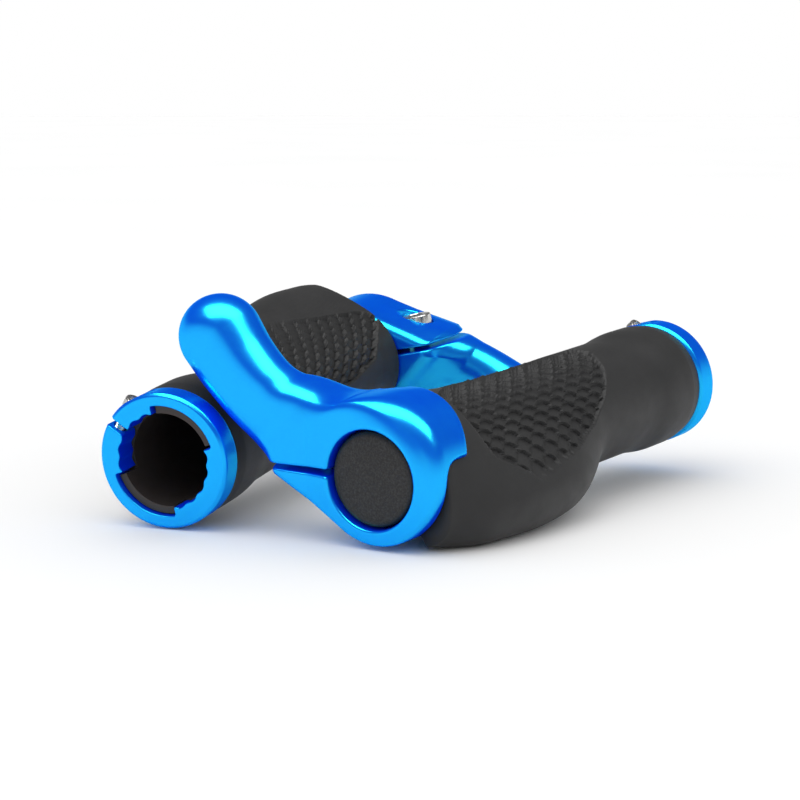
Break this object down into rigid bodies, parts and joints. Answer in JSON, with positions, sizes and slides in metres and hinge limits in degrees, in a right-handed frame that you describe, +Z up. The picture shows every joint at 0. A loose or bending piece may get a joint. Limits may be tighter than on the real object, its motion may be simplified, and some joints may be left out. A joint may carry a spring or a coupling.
{
  "type": "bar end grips",
  "caption": "Left and right lock-on handlebar grips, each with a rubber sleeve, a palm wing, a curved clamp-on metal horn, an end plug and a split lock ring.",
  "frame": {"origin": "middle of the box around the resting pair, on the surface the pair lies on", "axes": "+Z up; +Y away from the viewer of the pair, roughly along both grips from their near ends; +X to the right"},
  "size_m": [0.1546, 0.1676, 0.0549],
  "materials": {
    "anodised_blue": "glossy anodised",
    "grip_rubber": "matte moulded",
    "core_plastic": "satin moulded",
    "plug_plastic": "fine textured",
    "bolt_steel": "plated"
  },
  "bodies": {
    "right_grip": {"right_core_tube": "core_plastic", "right_grip_sleeve": "grip_rubber"},
    "right_bar_end": {"right_bar_end": "anodised_blue"},
    "right_end_plug": {"right_end_plug": "plug_plastic"},
    "right_pinch_bolt": {"right_pinch_bolt": "bolt_steel"},
    "right_lock_ring": {"right_lock_ring": "anodised_blue"},
    "right_ring_screw": {"right_ring_screw": "bolt_steel"},
    "left_grip": {"left_core_tube": "core_plastic", "left_grip_sleeve": "grip_rubber"},
    "left_bar_end": {"left_bar_end": "anodised_blue"},
    "left_end_plug": {"left_end_plug": "plug_plastic"},
    "left_pinch_bolt": {"left_pinch_bolt": "bolt_steel"},
    "left_lock_ring": {"left_lock_ring": "anodised_blue"},
    "left_ring_screw": {"left_ring_screw": "bolt_steel"}
  },
  "joints": [
    {"name": "left_grip_lift", "type": "slide", "parent": "right_grip", "child": "left_bar_end", "axis": [0, 0, 1], "range_m": [0, 0.1]},
    {"name": "left_grip_slide", "type": "slide", "parent": "left_bar_end", "child": "left_grip", "axis": [0.5683, 0.8207, 0.0584], "range_m": [0, 0.03]},
    {"name": "right_bar_end_slide", "type": "slide", "parent": "right_grip", "child": "right_bar_end", "axis": [0.3519, 0.9313, 0.0941], "range_m": [0, 0.03]},
    {"name": "left_plug_pull", "type": "slide", "parent": "left_bar_end", "child": "left_end_plug", "axis": [-0.5683, -0.8207, -0.0584], "range_m": [0, 0.012]},
    {"name": "left_pinch_turn", "type": "hinge", "parent": "left_bar_end", "child": "left_pinch_bolt", "pos_m": [-0.02305, -0.05604, 0.01744], "axis": [0.0041, -0.0738, 0.9973], "continuous": true},
    {"name": "left_ring_slide", "type": "slide", "parent": "left_grip", "child": "left_lock_ring", "axis": [0.5683, 0.8207, 0.0584], "range_m": [0, 0.02]},
    {"name": "left_ring_screw_turn", "type": "hinge", "parent": "left_lock_ring", "child": "left_ring_screw", "pos_m": [0.05374, 0.04076, 0.03397], "axis": [0.5745, -0.4466, 0.6859], "continuous": true},
    {"name": "right_plug_pull", "type": "slide", "parent": "right_bar_end", "child": "right_end_plug", "axis": [0.3519, 0.9313, 0.0941], "range_m": [0, 0.012]},
    {"name": "right_pinch_turn", "type": "hinge", "parent": "right_bar_end", "child": "right_pinch_bolt", "pos_m": [-0.0011, 0.06218, 0.03156], "axis": [0.1984, 0.024, -0.9798], "continuous": true},
    {"name": "right_ring_slide", "type": "slide", "parent": "right_grip", "child": "right_lock_ring", "axis": [-0.3519, -0.9313, -0.0941], "range_m": [0, 0.02]},
    {"name": "right_ring_screw_turn", "type": "hinge", "parent": "right_lock_ring", "child": "right_ring_screw", "pos_m": [-0.07192, -0.04355, 0.02448], "axis": [0.4927, -0.2698, 0.8273], "continuous": true}
  ]
}
